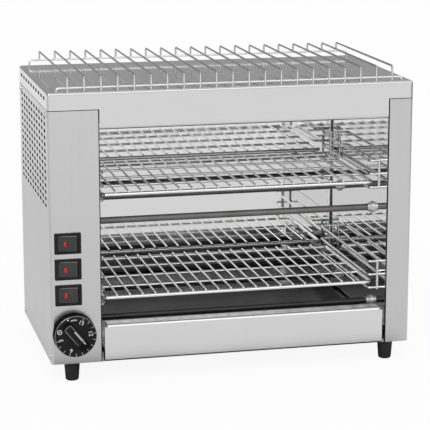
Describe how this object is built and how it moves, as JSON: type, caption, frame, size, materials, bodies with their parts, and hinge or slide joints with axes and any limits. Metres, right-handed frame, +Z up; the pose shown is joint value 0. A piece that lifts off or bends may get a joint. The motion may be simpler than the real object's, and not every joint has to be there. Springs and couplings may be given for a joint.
{
  "type": "salamander grill",
  "caption": "Two-level countertop salamander grill: steel casing with an open mirror-lined mouth, wire racks between heating tubes, crumb tray, rocker switches, timer and warming grid.",
  "frame": {"origin": "on the floor below the middle of the casing, midway between the knob's front and the cable gland's end", "axes": "+X to the right along the width, +Y from the open front to the back, +Z up"},
  "size_m": [0.444, 0.288, 0.3638],
  "materials": {
    "casing_steel": "satin brushed stainless sheet",
    "cover_steel": "bright stainless sheet",
    "plain_steel": "plain sheet",
    "polished_steel": "mirror polished stainless sheet",
    "guide_wire": "plated wire",
    "rack_wire": "plated wire",
    "grid_wire": "plated wire",
    "heater_sheath": "oxidised steel sheath",
    "ceramic": "glazed ceramic",
    "brass": "plain brass",
    "zinc_steel": "zinc plated steel",
    "switch_plastic": "fine matt black moulding",
    "rocker_plastic": "satin black moulding",
    "lens_red": "clear red lens",
    "knob_plastic": "satin black moulding",
    "rubber": "black rubber"
  },
  "bodies": {
    "casing": {"left_casing": "casing_steel", "right_casing": "casing_steel", "top_cover": "cover_steel", "base_plate": "plain_steel", "rear_panel": "plain_steel", "heat_shield": "plain_steel", "tray_rails": "plain_steel", "cavity_liner": "polished_steel", "ceiling_reflector": "polished_steel", "upper_left_guide": "guide_wire", "upper_right_guide": "guide_wire", "lower_left_guide": "guide_wire", "lower_right_guide": "guide_wire", "top_front_element": "heater_sheath", "top_rear_element": "heater_sheath", "middle_front_element": "heater_sheath", "middle_rear_element": "heater_sheath", "lower_front_element": "heater_sheath", "lower_rear_element": "heater_sheath", "element_bushes": "ceramic", "terminal_block": "ceramic", "element_terminals": "brass", "switch_terminals": "brass", "terminal_clamps": "brass", "earth_stud": "brass", "timer_body": "zinc_steel", "timer_nut": "zinc_steel", "casing_screws": "zinc_steel", "rear_screws": "zinc_steel", "foot_screws": "zinc_steel", "foot_nuts": "zinc_steel", "switch_1_housing": "switch_plastic", "switch_2_housing": "switch_plastic", "switch_3_housing": "switch_plastic", "cable_gland": "switch_plastic", "gland_nut": "switch_plastic", "foot_front_left": "rubber", "foot_front_right": "rubber", "foot_rear_left": "rubber", "foot_rear_right": "rubber"},
    "rocker_top": {"rocker_1": "rocker_plastic", "lens_1": "lens_red"},
    "rocker_middle": {"rocker_2": "rocker_plastic", "lens_2": "lens_red"},
    "rocker_bottom": {"rocker_3": "rocker_plastic", "lens_3": "lens_red"},
    "timer_dial": {"timer_knob": "knob_plastic", "timer_shaft": "zinc_steel"},
    "upper_shelf": {"upper_rack": "rack_wire"},
    "lower_shelf": {"lower_rack": "rack_wire"},
    "crumb_tray": {"tray_pan": "polished_steel", "tray_front": "casing_steel"},
    "warming_grid": {"top_grid": "grid_wire"}
  },
  "joints": [
    {"name": "switch_top", "type": "hinge", "parent": "casing", "child": "rocker_top", "pos_m": [-0.199, -0.119, 0.1685], "axis": [0, 0, 1], "range_deg": [0, 14]},
    {"name": "switch_middle", "type": "hinge", "parent": "casing", "child": "rocker_middle", "pos_m": [-0.199, -0.119, 0.1375], "axis": [0, 0, 1], "range_deg": [0, 14]},
    {"name": "switch_bottom", "type": "hinge", "parent": "casing", "child": "rocker_bottom", "pos_m": [-0.199, -0.119, 0.1065], "axis": [0, 0, 1], "range_deg": [0, 14]},
    {"name": "timer_turn", "type": "hinge", "parent": "casing", "child": "timer_dial", "pos_m": [-0.1935, -0.12, 0.06], "axis": [0, 1, 0], "range_deg": [-288, 24]},
    {"name": "upper_rack_slide", "type": "slide", "parent": "casing", "child": "upper_shelf", "axis": [0, -1, 0], "range_m": [0, 0.15]},
    {"name": "lower_rack_slide", "type": "slide", "parent": "casing", "child": "lower_shelf", "axis": [0, -1, 0], "range_m": [0, 0.15]},
    {"name": "tray_slide", "type": "slide", "parent": "casing", "child": "crumb_tray", "axis": [0, -1, 0], "range_m": [0, 0.2]},
    {"name": "grid_lift", "type": "slide", "parent": "casing", "child": "warming_grid", "axis": [0, 0, 1], "range_m": [0, 0.06]}
  ]
}
